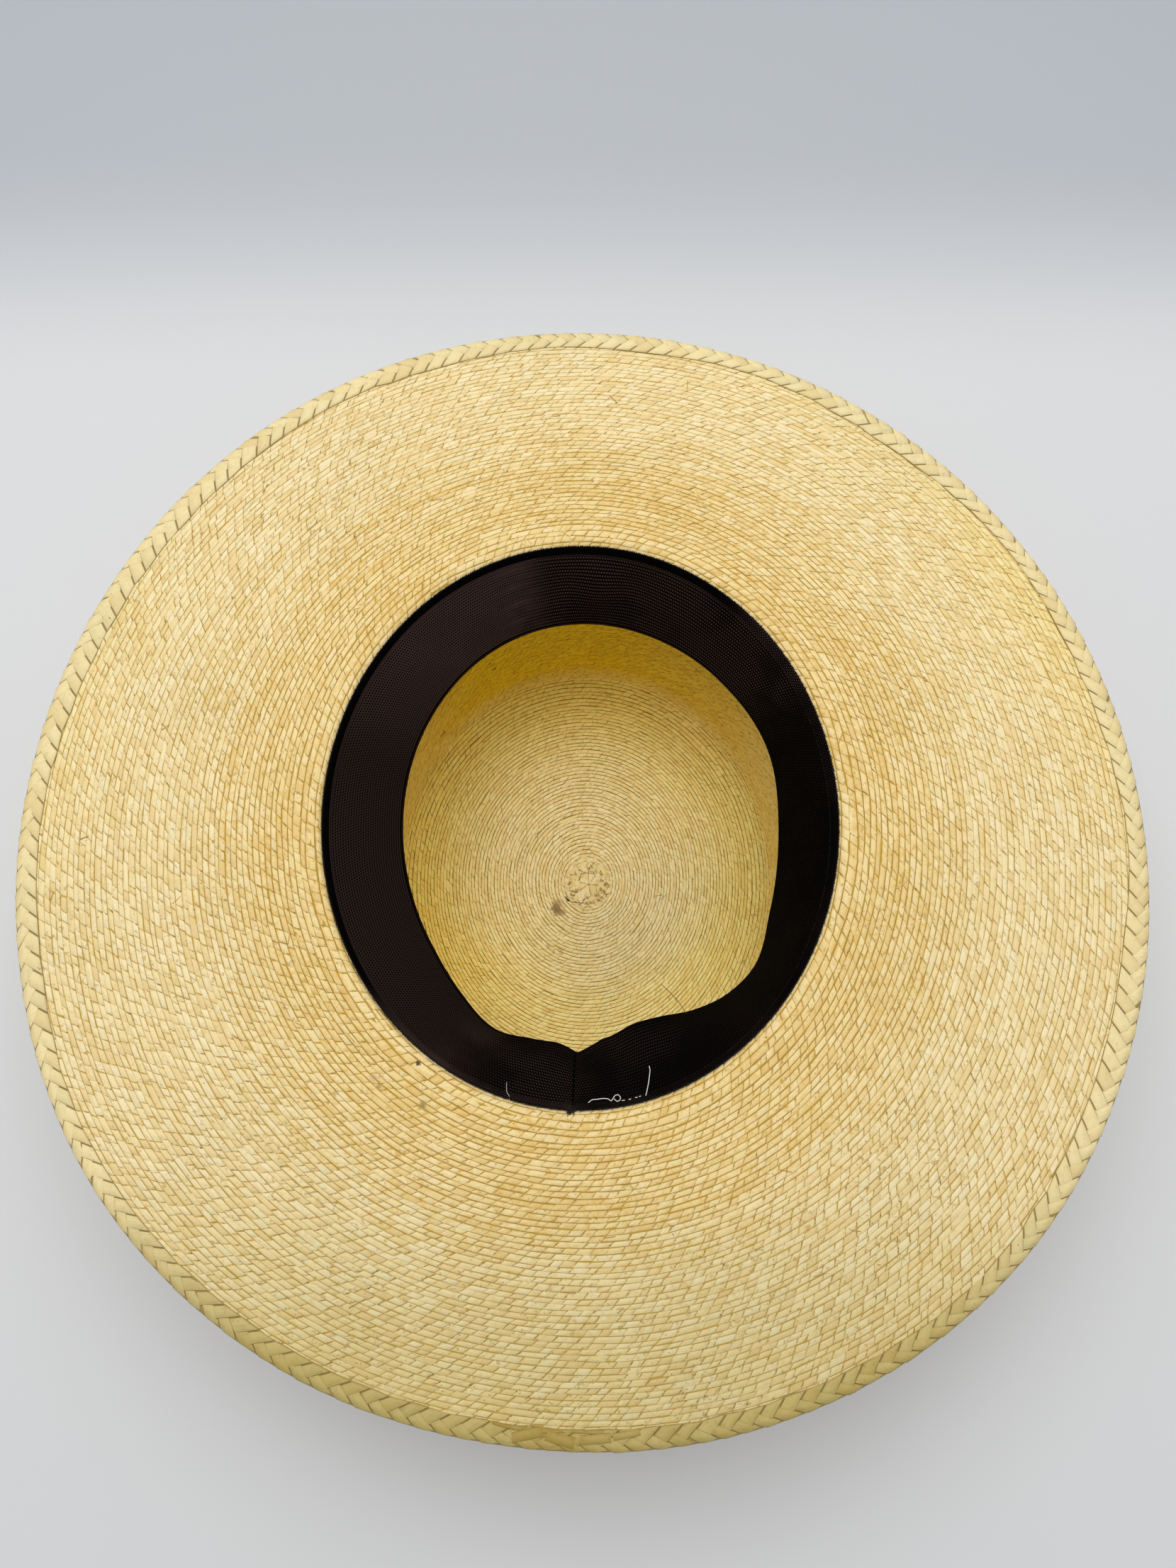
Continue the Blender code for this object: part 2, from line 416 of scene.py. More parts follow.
def strawMaterial(name, length, width, gapShare, look=strawLook):
    # A flat palm strand: its tone, its fibres, brown edges where it dips under its neighbours.
    material, tree, inputs, place = newMaterial(name, 0.5, 0.35)
    tint = readAttribute(tree, "strandTint", 2)
    keen = (tint * 37.3).fraction()                     # another random number of the strand
    along, across, unused = splitVector(readAttribute(tree, "strandPlace", 1))
    x, y, z = splitVector(place)

    def strandNoise(alongScale, acrossScale, shear, detail):
        stretched = combine(along * (length * alongScale) + across * (width * alongScale * shear),
                            across * (width * acrossScale), tint * 91.7)
        return noise(stretched, 1.0, detail, 0.6)

    fibre = strandNoise(230, 2600, 0.0, 3.0)
    scratch = strandNoise(1700, 300, 0.7, 2.0)
    blotch, patch, fine, cluster = (noise(place, *numbers) for numbers in look["noises"])
    ring = noise(combine((x * x + y * y).root() * 330, x * 22, y * 22), 1.0)
    dirt = smoothMask(patch, 0.45, 0.68)

    colour = addNode(tree, "ShaderNodeValToRGB", {"stops": look["tones"]}, {0: tint})
    colour = colour.lay(look["fibre"], smoothMask(fibre, 0.50, 0.72) * 0.4)
    colour = colour.lay(look["scratch"], smoothMask(scratch, 0.58, 0.70) * 0.35)
    colour = colour.lay(look["blotch"], smoothMask(blotch + ring * 0.25, 0.62, 0.82) * 0.5)
    colour = colour.lay(look["dirt"], dirt * 0.15)
    if look["inHollow"]:
        # a brown worn ring round the button, and frayed ends along one row of the tip
        fromButton = distance(place, look["button"])
        worn = smoothMask(abs(fromButton - look["wornRadius"]), 3.4 * mm, 1.2 * mm)
        worn = worn * smoothMask(blotch * 0.4 + fine * 0.6, 0.49, 0.59)
        colour = colour.lay(look["worn"], worn * 0.9)
        row = smoothMask(abs(fromButton - look["frayRadius"]), 1.6 * mm, 0.6 * mm)
        cluster = cluster + row * (x < -8 * mm) * 0.13
    fray = smoothMask(cluster + dirt * 0.03, 0.64, 0.70) * smoothMask(scratch, 0.40, 0.52)
    colour = colour.lay(look["fray"], fray * look["frayShare"])

    # golden lines between rows, and ragged slanted marks where one strand dips under the next
    fromSide = abs(across - 0.5) * 2
    fromEnd = abs(along - 0.5) * 2
    side = smoothMask(fromSide, 1 - look["lineWidth"] * gapShare, 1.0)
    side = side * smoothMask(ring * 0.8 + blotch * 0.5, *look["lineShare"]) * 1.5
    ragged = smoothMask(fine * 0.5 + scratch * 0.5, 0.40, 0.58)
    wedge = (1.35 - across) * (0.5 + 1.5 * keen * keen) * (0.2 + 1.4 * ragged)
    end = smoothMask(fromEnd, 1 - look["endWidth"] * gapShare, 1.0) * wedge

    if look["inHollow"]:
        # honey streaks and stronger lines near the head opening, subtler ones on its roll
        halfWidth, halfLength, middle = look["opening"]
        right, ahead = x / halfWidth, (y - middle) / halfLength
        mouthAway = right * right + ahead * ahead       # one at the opening's rim
        onTop = smoothMask(z, 112 * mm, 114.5 * mm)
        closeBy = smoothMask(mouthAway, 2.3, 1.15) * onTop
        streak = smoothMask(blotch * 0.6 + ring * 0.5 + patch * 0.3, 0.64, 0.84)
        streak = streak * smoothMask(mouthAway, 2.9, 1.2) * onTop
        streak = streak * (0.3 + smoothMask(fromSide, 0.1, 0.9) + smoothMask(fine, 0.48, 0.6))
        colour = colour.lay(look["honey"], streak.smallest(1.0) * 0.65)
        colour = colour.lay(look["openingTint"], closeBy, "MULTIPLY")
        onTip = smoothMask(z, 9 * mm, 4 * mm)
        side = side * (1 + 1.6 * closeBy + 0.9 * onTip)
        end = end * (1 + 0.2 * closeBy - 0.4 * onTip)
        side = side * (1 - 0.4 * smoothMask(mouthAway, 1.09, 1.03) * onTop)
        colour = colour.lay(look["tipTint"], onTip, "MULTIPLY")
        nearTip = smoothMask(x - y, -10 * mm, 65 * mm) * onTip
        colour = colour.lay(look["tipNearTint"], nearTip, "MULTIPLY")
    colour = colour.lay(look["gapColour"], side.smallest(1.0) * 0.9)
    if look["inHollow"]:
        colour = colour.lay(look["tipLine"], (side * onTip).smallest(1.0) * 0.8)
        colour = colour.lay(look["openingLine"], (side * 0.5 * closeBy).smallest(1.0) * 0.8)
    colour = colour.lay(look["markColour"], end.smallest(1.0) * 0.85)
    fleck = smoothMask(fine + dirt * 0.03 + end * 0.06, 0.69, 0.77)
    colour = colour.lay(look["fleck"], fleck * 0.7)

    for centre, radius, soft, spotColour, strength in look["spots"]:
        near = nearSpot(place, np.array(centre) * mm, radius * mm, soft)
        colour = colour.lay(spotColour, near * strength)
    # painted shade: the open crack is drawn black
    for start, stop, startWidth, endWidth, strength in look["cracks"]:
        near = nearLine(place, np.array(start) * mm, np.array(stop) * mm,
                        startWidth * mm, endWidth * mm)
        colour = colour.lay(look["crackShadeColour"], near * strength)

    if look["inHollow"]:
        # light that goes round the hollow and through the straw turns it gold
        hollow = smoothMask(z, 114.5 * mm, 107 * mm) * smoothMask(mouthAway, 0.04, 0.62)
        hollow = hollow * (1 - 0.55 * smoothMask(y, -30 * mm, -75 * mm))
        hollow = hollow * (1 - 0.25 * smoothMask(x, 10 * mm, 50 * mm))
        colour = colour.lay(look["wallTint"], hollow, "MULTIPLY")
        far = smoothMask(y, 35 * mm, 85 * mm) * smoothMask(z, 6 * mm, 22 * mm)
        colour = colour.lay(look["farTint"], hollow * far, "MULTIPLY")
    # painted shade: the straw darkens towards the viewer's side
    colour = colour.lay(look["nearShadeTint"], smoothMask(y, -95 * mm, -170 * mm), "MULTIPLY")
    feed(inputs["Base Color"], colour)
    feed(inputs["Roughness"], 0.48 + 0.25 * fibre)
    relief = fibre * 0.6 + fine * 0.3 - fray * 0.6
    feed(inputs["Normal"], bump(relief, 0.4, 0.25 * mm))
    return material


def grainMaterial(name, colour, shares, scale, specular):
    # one colour that varies in small grains between two shares of itself
    material, tree, inputs, place = newMaterial(name, 0.8, specular)
    low, high = ([part * share for part in colour] for share in shares)
    feed(inputs["Base Color"], mixColours(low, high, noise(place, scale)))
    return material


def gapMaterial(name, colour):
    # what shows between the strands
    return grainMaterial(name, colour, (1, 0.55), 900, 0.5)


# The weave. Cells are laid out in turns round the hat and rows across it, and one tree sets
# a strand on each cell.

def cornerPoints(turn, share):
    return np.stack([turn, share, np.zeros_like(turn)], axis=1)


def turnedCorners(long, wide, heading):
    # how far ahead and aside of its middle the four corners of a turned strip lie
    return [(a * long * np.cos(heading) - c * wide * np.sin(heading),
             a * long * np.sin(heading) + c * wide * np.cos(heading))
            for a, c in ((-0.5, -0.5), (0.5, -0.5), (-0.5, 0.5), (0.5, 0.5))]


def spiralCells(rings, layout):
    # Four corners of each cell, as turn and row, along one strand that goes round and round.
    rows = len(rings) - 1
    ringLength = ringLengths(rings)
    rng = np.random.default_rng(layout["seed"])
    lengths = np.interp(np.arange(rows + 1), layout["lengthRows"], layout["lengths"])
    perTurn = ringLength / lengths
    block = layout["blockRows"]
    counts = []
    for row in range(rows + 1):
        middle = min(rows, row // block * block + block // 2)
        counts.append(round(perTurn[middle]) + layout["stagger"])
    total = np.concatenate([[0], np.cumsum(counts)])
    cuts = np.arange(int(total[layout["firstRow"]]), int(total[-1]))
    cuts = cuts[rng.random(len(cuts)) > layout["long"]]
    turns = np.interp(cuts + np.clip(rng.normal(0, layout["uneven"], len(cuts)), -0.35, 0.35),
                      total, np.arange(len(total)))
    knots = np.arange(int((rows + 3) * layout["waverPerTurn"])) / layout["waverPerTurn"]
    heights = rng.normal(0, layout["waver"], len(knots)).clip(-0.3, 0.3)
    smooth = np.convolve(heights, [0.25, 0.5, 0.25], "same") * 1.6

    def boundary(turn):
        return turn + np.interp(turn, knots, smooth)

    slantTurn = layout["slant"] * layout["pitch"] / np.interp(
        turns, np.arange(rows + 1), ringLength)
    innerCut = turns + slantTurn / 2
    outerCut = turns - slantTurn / 2
    corners = [(turn, boundary(turn) - 1) for turn in (innerCut[:-1], innerCut[1:])]
    corners += [(turn, boundary(turn + 1) - 1) for turn in (outerCut[:-1], outerCut[1:])]
    # each strand is a little off its row, and mostly overlaps its neighbours
    ragged = rng.normal(0, layout["ragged"], (4, len(cuts) - 1)).clip(-0.1, 0.1)
    ragged += rng.normal(0, layout["ragged"], (2, len(cuts) - 1)).repeat(2, axis=0).clip(-0.1, 0.1)
    ragged += np.array([-0.035, -0.035, 0.035, 0.035])[:, None]
    corners = [cornerPoints(turn, (row + shift) / rows)
               for (turn, row), shift in zip(corners, ragged)]
    kept = (corners[3][:, 1] > 0.02 / rows) & (corners[0][:, 1] < 1 - 0.02 / rows)
    corners = [corner[kept] for corner in corners]
    for corner in corners:
        corner[:, 1] = corner[:, 1].clip(0, 1)
    return corners, rng


def sliverCells(rings, count, rng):
    # frayed bits of strand that lie loose across the weave, as corners like the cells'
    rows = len(rings) - 1
    ringLength = ringLengths(rings)
    height = np.linalg.norm(np.diff(rings, axis=0), axis=-1).mean()
    row = rng.uniform(3, rows - 5, count)
    turn = rng.random(count) + 1
    perTurn = np.interp(row, np.arange(rows + 1), ringLength)
    heading = rng.normal(0, 0.5, count)
    long, wide = rng.uniform(2, 5, count) * mm, rng.uniform(0.12, 0.4, count) * mm
    return [cornerPoints(turn + ahead / perTurn, (row + aside / height) / rows)
            for ahead, aside in turnedCorners(long, wide, heading)]


def guideMesh(name, corners, rng, tone=None, slivers=0, proud=None, kept=None):
    # one point for each kept cell, carrying its corners, its tint and how high it stands
    count = len(corners[0])
    tint = 0.05 + 0.95 * rng.random(count) if tone is None else tone
    stand = rng.normal(0, 1, (count, 3)).clip(-2, 2)
    raised = rng.random(count) < 0.02
    stand[raised, 0] += 2.5
    if proud is not None:             # the fat pale rows on the roll
        stand[proud, 0] += 2
        tint[proud] = 0.6 + 0.3 * tint[proud]
    if slivers:                       # the last cells are loose slivers that stand off the weave
        stand[-slivers:] = rng.uniform((5, -4, -2), (9, 4, 2), (slivers, 3))
        tint[-slivers:] = np.where(rng.random(slivers) < 0.45, 0.01, tint[-slivers:])
    kept = np.ones(count, bool) if kept is None else kept
    mesh = bpy.data.meshes.new(name)
    mesh.from_pydata(np.zeros((int(kept.sum()), 3)).tolist(), [], [])
    vectors = [("corner" + label, corner) for label, corner in zip("ABCD", corners)]
    for label, values in vectors + [("stand", stand)]:
        mesh.attributes.new(label, "FLOAT_VECTOR", "POINT").data.foreach_set(
            "vector", values[kept].astype(np.float32).ravel())
    mesh.attributes.new("strandTint", "FLOAT", "POINT").data.foreach_set(
        "value", tint[kept].astype(np.float32))
    return mesh


def newTree(name, inputs):
    # a tree with one geometry output, and with inputs that are found by their names
    tree = bpy.data.node_groups.new(name, "GeometryNodeTree")
    tree.interface.new_socket("Geometry", in_out="OUTPUT", socket_type="NodeSocketGeometry")
    identifiers = {}
    for label, kind, default in inputs:
        socket = tree.interface.new_socket(label, in_out="INPUT", socket_type="NodeSocket" + kind)
        if default is not None:
            socket.default_value = default
        identifiers[label] = socket.identifier
    entry = tree.nodes.new("NodeGroupInput")
    given = {label: NodeValue(tree, entry.outputs[label]) for label in identifiers}
    return tree, identifiers, given


def endTree(final):
    feed(final.tree.nodes.new("NodeGroupOutput").inputs["Geometry"], final)


def applyTree(piece, tree, identifiers, values):
    # sets the inputs, runs the tree once and keeps the result as a plain mesh
    modifier = piece.modifiers.new(tree.name, "NODES")
    modifier.node_group = tree
    for label, value in values.items():
        modifier[identifiers[label]] = value
    graph = bpy.context.evaluated_depsgraph_get()
    mesh = bpy.data.meshes.new_from_object(piece.evaluated_get(graph))
    piece.modifiers.remove(modifier)
    piece.data = mesh
    mesh.name = piece.name
    return mesh


def buildStrandTree():
    # Sets a little pillowed strand on each cell of a guide and bends it onto the skin.
    tree, names, given = newTree("strandsOnSkin", [
        ("guide", "Geometry", None), ("skin", "Object", None), ("along", "Int", 4),
        ("across", "Int", 4), ("endBevel", "Float", 0.2), ("sideBevel", "Float", 0.2),
        ("lift", "Float", 0.2 * mm), ("dip", "Float", 0.1 * mm), ("uneven", "Float", 0.04 * mm),
        ("bow", "Float", 0.0), ("endDip", "Float", 1.0), ("upper", "Bool", True),
        ("keepSkin", "Bool", True), ("strandMaterial", "Material", None)])

    def node(kind, settings=None, sockets=None, output=0):
        return addNode(tree, kind, settings, sockets, output)

    def named(name):
        return node("GeometryNodeInputNamedAttribute", {"data_type": "FLOAT_VECTOR"},
                    {"Name": name})

    def store(geometry, name, value):
        return node("GeometryNodeStoreNamedAttribute",
                    {"data_type": "FLOAT_VECTOR", "domain": "POINT"},
                    {"Geometry": geometry, "Name": name, "Value": value})

    skinInfo = node("GeometryNodeObjectInfo", {"transform_space": "ORIGINAL"},
                    {"Object": given["skin"]}, 4)
    patch = node("GeometryNodeMeshGrid", sockets={
        "Size X": 1.0, "Size Y": 1.0, "Vertices X": given["along"],
        "Vertices Y": given["across"]})
    x, y, z = splitVector(node("GeometryNodeInputPosition"))
    patch = store(patch, "gridPlace", combine(x + 0.5, y + 0.5, 0.0))
    strands = node("GeometryNodeInstanceOnPoints", sockets={
        "Points": given["guide"], "Instance": patch})
    strands = node("GeometryNodeRealizeInstances", sockets={0: strands})

    # inner points of the patch move out towards its borders, which leaves narrow bevels
    rawAlong, rawAcross, unused = splitVector(named("gridPlace"))
    along = smoothEnds(rawAlong, given["along"], given["endBevel"])
    across = smoothEnds(rawAcross, given["across"], given["sideBevel"])
    strands = store(strands, "strandPlace", combine(along, across, 0.0))
    along, across, unused = splitVector(named("strandPlace"))
    low = mixVectors(named("cornerA"), named("cornerB"), along)
    high = mixVectors(named("cornerC"), named("cornerD"), along)
    turn, row, unused = splitVector(mixVectors(low, high, across))
    where = combine(turn.fraction(), row, 0.0)

    def onSkin(value):
        return node("GeometryNodeSampleUVSurface", {"data_type": "FLOAT_VECTOR"}, {
            "Mesh": skinInfo, "Value": value, "Source UV Map": named("UVMap"), "Sample UV": where})

    point = onSkin(node("GeometryNodeInputPosition"))
    normal = onSkin(node("GeometryNodeInputNormal"))

    # the borders dip under the neighbours and the middle stands proud
    inside = 1 - given["endDip"] * (1 - (rawAlong > 0.001) * (rawAlong < 0.999))
    inside = inside * (rawAcross > 0.001) * (rawAcross < 0.999)
    tip, lean, roll = splitVector(named("stand"))
    bow = given["bow"] * (1 - 4 * (along - 0.5) * (along - 0.5))
    slope = (along - 0.5) * lean * 1.6 + (across - 0.5) * roll * 1.2
    raised = given["lift"] + bow + given["uneven"] * (tip + slope)
    height = inside * (raised + given["dip"]) - given["dip"]
    lifted = node("ShaderNodeVectorMath", {"operation": "SCALE"}, {0: normal, "Scale": height})
    strands = node("GeometryNodeSetPosition", sockets={
        "Geometry": strands,
        "Position": vectorMaths("ADD", point, lifted)})
    flipped = node("GeometryNodeFlipFaces", sockets={"Mesh": strands})
    strands = node("GeometryNodeSwitch", {"input_type": "GEOMETRY"}, {
        "Switch": given["upper"], "False": strands, "True": flipped})
    strands = node("GeometryNodeSetShadeSmooth", sockets={"Geometry": strands})
    strands = node("GeometryNodeSetMaterial", sockets={
        "Geometry": strands, "Material": given["strandMaterial"]})
    kept = node("GeometryNodeSwitch", {"input_type": "GEOMETRY"},
                {"Switch": given["keepSkin"], "True": skinInfo})
    joined = node("GeometryNodeJoinGeometry")
    for part in (strands, kept):
        tree.links.new(part.socket, joined.socket.node.inputs[0])
    endTree(node("GeometryNodeRealizeInstances", sockets={0: joined}))
    return tree, names


def smoothEnds(value, points, bevel):
    # the shares 0 and 1 stay, and what lies between is drawn to within a bevel of them
    middle = (value - 0.5) * (points - 1) / (points - 3).largest(1)
    squeezed = middle * (1 - 2 * bevel) + 0.5
    border = abs(value - 0.5) > 0.499
    return mixValues(squeezed, value, border)


def growStrands(name, skinMesh, gapLook, guide, settings, node):
    # the strands of a guide on a skin, as one piece
    skin = newPiece(name + "Skin", skinMesh)
    skinMesh.materials.append(gapLook)
    piece = newPiece(name, guide)
    mesh = applyTree(piece, strandTree, strandInputs, dict(settings, skin=skin))
    for label in ("UVMap", "cornerA", "cornerB", "cornerC", "cornerD", "stand", "gridPlace"):
        if label in mesh.attributes:
            mesh.attributes.remove(mesh.attributes[label])
    bpy.data.objects.remove(skin)
    dressPiece(piece, node)
    print(name, len(mesh.polygons), "faces")


strandTree, strandInputs = buildStrandTree()

turns = roundTurns(hat["columns"])
crownRings = [tipRing(turns, max(row / 52, 0.004)) for row in range(53)]
crownRings += [cornerRing(turns, radians(90) * row / 8) for row in range(1, 9)]
crownRings += [wallRing(turns, row / 54) for row in range(1, 55)]
brimRings = [rollRing(turns, radians(90) * row / 3) for row in range(4)]
rowWidths = np.array([2.5, 2.2, 2.0] + [1.83] * 48)       # mm, wider after the roll
brimRings += [plateRing(turns, share) for share in np.cumsum(rowWidths) / rowWidths.sum()]
crownRings, brimRings = np.array(crownRings), np.array(brimRings)

weave = {
    "crown": {"seed": 11, "lengthRows": [0, 6, 20, 52, 114],
              "lengths": [x * mm for x in (1.6, 2.4, 3.6, 4.0, 4.35)], "blockRows": 6,
              "stagger": 0.44, "firstRow": 7, "slivers": 80, "long": 0.04, "uneven": 0.16,
              "waverPerTurn": 40, "waver": 0.085, "ragged": 0.03, "slant": 0.95,
              "pitch": 1.7 * mm, "proud": 0},
    "brim": {"seed": 12, "lengthRows": [0, 6, 54],
             "lengths": [x * mm for x in (3.2, 4.4, 4.45)], "blockRows": 6,
             "stagger": 0.44, "firstRow": 0, "slivers": 130, "long": 0.04, "uneven": 0.16,
             "waverPerTurn": 90, "waver": 0.10, "ragged": 0.03, "slant": 1.05,
             "pitch": 1.85 * mm, "proud": 3.1},
    "recess": 0.13 * mm,          # the base skin lies this deep under the solid's face
    "shapes": {"along": 4, "across": 4, "endBevel": 0.06, "sideBevel": 0.17, "lift": 0.17 * mm,
               "dip": 0.06 * mm, "uneven": 0.045 * mm, "bow": 0.02 * mm, "endDip": 0.75},
    "buttonShapes": {"along": 5, "across": 5, "endBevel": 0.05, "sideBevel": 0.05,
                     "lift": 0.17 * mm, "dip": 0.06 * mm, "uneven": 0.06 * mm, "bow": 0.05 * mm,
                     "endDip": 1.0, "keepSkin": False},
    "backShapes": {"along": 4, "across": 3, "endBevel": 0.06, "sideBevel": 0.2, "lift": 0.14 * mm,
                   "dip": 0.06 * mm, "uneven": 0.04 * mm, "bow": 0.02 * mm, "endDip": 0.75},
}

hidden = {"inHollow": False, "spots": [], "cracks": []}     # for sides that don't show
insideLook = strawMaterial("palmInside", 4.35 * mm, 1.85 * mm, 0.06)
outsideLook = strawMaterial("palmOutside", 4.35 * mm, 1.85 * mm, 0.06,
                            dict(strawLook, **hidden))
buttonLook = dict(strawLook, lineWidth=2.6, endWidth=2.6, gapColour=(0.22, 0.125, 0.02),
                  markColour=(0.20, 0.115, 0.02), lineShare=(0.1, 0.5))
insideButton = strawMaterial("buttonInside", 6 * mm, 4 * mm, 0.035, buttonLook)
outsideButton = strawMaterial("buttonOutside", 6 * mm, 4 * mm, 0.035,
                              dict(buttonLook, **hidden))
gapLook = gapMaterial("palmGap", (0.64, 0.40, 0.045))
tipGap = gapMaterial("tipGap", (0.38, 0.26, 0.045))


def buttonCells(rings, rng):
    # The weave starts from a star of short folded strands and four ragged rings round it.
    rows = len(rings) - 1
    cells = []
    star = [(88, 172, 3.9, 2.9), (172, 215, 2.9, 3.3), (215, 283, 3.3, 4.5), (283, 352, 4.5, 3.7),
            (352, 45, 3.7, 3.3), (45, 88, 3.3, 3.9)]          # azimuths, and reach in rows
    for start, end, near, far in star:
        end = end if end > start else end + 360
        cells.append([(start, 0.05), (start, near), (end, 0.05), (end, far)])
    for low, high, count, spin, uneven in ((3.3, 4.6, 9, 10, 0.25), (4.2, 5.4, 12, 31, 0.22),
                                           (5.0, 6.3, 15, 3, 0.2), (5.9, 7.2, 20, 12, 0.15)):
        cuts = spin + np.arange(count + 1) * 360 / count
        cuts[:-1] += rng.uniform(-0.3, 0.3, count) * 360 / count
        cuts[-1] = cuts[0] + 360
        for start, end in zip(cuts, cuts[1:]):
            inner, outer = low + rng.normal(0, uneven, 2), high + rng.normal(0, uneven, 2)
            skew = rng.uniform(-0.45, 0.1) * 360 / count
            end += 4
            cells.append([(start, inner[0]), (end, inner[1]),
                          (start + skew, outer[0]), (end + skew, outer[1])])
    cells = np.array(cells)
    return [cornerPoints(cells[:, i, 0] / 360 + 1, cells[:, i, 1] / rows) for i in range(4)]


def weaveSkin(name, rings, upper, pole):
    depth = weave["recess"] if upper else hat["straw"] - weave["recess"]
    return gridMesh(name + "Skin", offsetRings(rings, depth), flip=upper, pole=pole)


def makeWeave(name, rings, layout, node, upper, span=(0, 999), gap=None, **changes):
    # the cells whose rows lie in the span, as one piece
    corners, rng = spiralCells(rings, layout)
    shapes = dict(weave["shapes"] if upper else weave["backShapes"])
    shapes.update(upper=upper, strandMaterial=insideLook if upper else outsideLook, **changes)
    count = layout["slivers"] if upper else layout["slivers"] // 2
    loose = sliverCells(rings, count, rng)
    corners = [np.concatenate(pair) for pair in zip(corners, loose)]
    row = corners[3][:, 1] * (len(rings) - 1)
    kept = (row >= span[0]) & (row < span[1])
    guide = guideMesh(name, corners, rng, slivers=count, proud=row < layout["proud"], kept=kept)
    skin = weaveSkin(name, rings, upper, pole=node == "crown")
    growStrands(name, skin, gap or gapLook, guide, shapes, node)


def makeButton(name, upper):
    # the first strands of the weave, at the middle of the tip
    rng = np.random.default_rng(61)
    shapes = dict(weave["buttonShapes"], upper=upper,
                  strandMaterial=insideButton if upper else outsideButton)
    if not upper:                     # pressed flat by the hat's weight
        shapes.update(lift=0.14 * mm, uneven=0.01 * mm, bow=0.01 * mm)
    guide = guideMesh(name, buttonCells(crownRings, rng), rng)
    growStrands(name, weaveSkin(name, crownRings, upper, True), gapLook, guide, shapes, "crown")


makeButton("buttonInside", True)
makeButton("buttonOutside", False)
makeWeave("tipInside", crownRings, weave["crown"], "crown", True, (0, 60), tipGap,
          endDip=0.5)
makeWeave("wallInside", crownRings, weave["crown"], "crown", True, (60, 999), keepSkin=False)
makeWeave("brimTopInner", brimRings, weave["brim"], "brim", True, (0, 27))
makeWeave("brimTopOuter", brimRings, weave["brim"], "brim", True, (27, 999), keepSkin=False)
makeWeave("crownOutside", crownRings, weave["crown"], "crown", False)
makeWeave("brimUnder", brimRings, weave["brim"], "brim", False)
print("weave done")


# Edge binding: a flat plait of two interlocking columns, folded over the brim's edge

plait = {
    "pitch": 6.7 * mm,            # from one strand to the next along the edge
    "slopes": (1.15, 1.5),        # how far inner and outer strands run along for each step across
    "fixed": 2.2 * mm,            # from the straw's edge to where the two columns meet
    # azimuth, and how far the plait reaches in from the straw's edge
    "reach": [(0, 5.0), (10, 5.8), (20, 5.7), (35, 4.6), (52, 6.4), (70, 4.5), (83, 5.6),
              (92, 4.8), (110, 6.0), (117, 5.2), (130, 6.2), (142, 6.9), (162, 6.9), (178, 5.7),
              (195, 6.2), (208, 5.0), (222, 5.0), (235, 5.3), (258, 5.2), (280, 5.2), (295, 4.9),
              (310, 4.5), (326, 6.2), (347, 7.2), (354, 5.8)],
    "rise": 1.05 * mm,            # the base strip's height over the straw at the fold
    "innerRise": 0.25 * mm,       # and at its inner edge
    "shapes": {"along": 6, "across": 4, "endBevel": 0.03, "sideBevel": 0.05, "lift": 0.17 * mm,
               "dip": 0.08 * mm, "uneven": 0.045 * mm, "bow": 0.04 * mm, "endDip": 1.0},
    "under": 0.35 * mm,           # how far a strand's end runs on under its neighbour
    "look": dict(strawLook, inHollow=False, cracks=[], tones=[
        (0.0, (0.62, 0.44, 0.10)), (0.06, (0.80, 0.63, 0.29)), (0.35, (0.87, 0.71, 0.36)),
        (0.7, (0.90, 0.75, 0.40)), (0.9, (0.86, 0.72, 0.38)), (1.0, (0.80, 0.67, 0.34))],
        fibre=(0.72, 0.55, 0.24), scratch=(0.70, 0.52, 0.21), blotch=(0.76, 0.60, 0.28),
        gapColour=(0.23, 0.14, 0.03), lineWidth=5.5, endWidth=0.0001, frayShare=0.15,
        # painted shade: the plait is darker and more yellow at the viewer's side, turned away from
        # the light
        lineShare=(0.0, 0.5), nearShadeTint=(0.60, 0.57, 0.36),
        # painted shade: a darker, more yellow patch where the near edge turns away from the light
        spots=[((-8, -188, 114.5), 9, 0.5, (0.66, 0.47, 0.12), 0.5)]),
    # leaves that close the plait: azimuth, distance in, length, width and heading
    "leaves": [(263.2, 5.3, 12.0, 1.9, 5), (267.0, 4.9, 11.0, 1.7, -7),
               (270.4, 5.2, 12.0, 1.5, 4), (264.9, 3.2, 10.0, 3.4, -16),
               (268.0, 2.7, 9.5, 3.6, 12), (271.3, 3.0, 10.0, 3.0, -4),
               (274.2, 4.2, 9.0, 2.4, -9)],
}


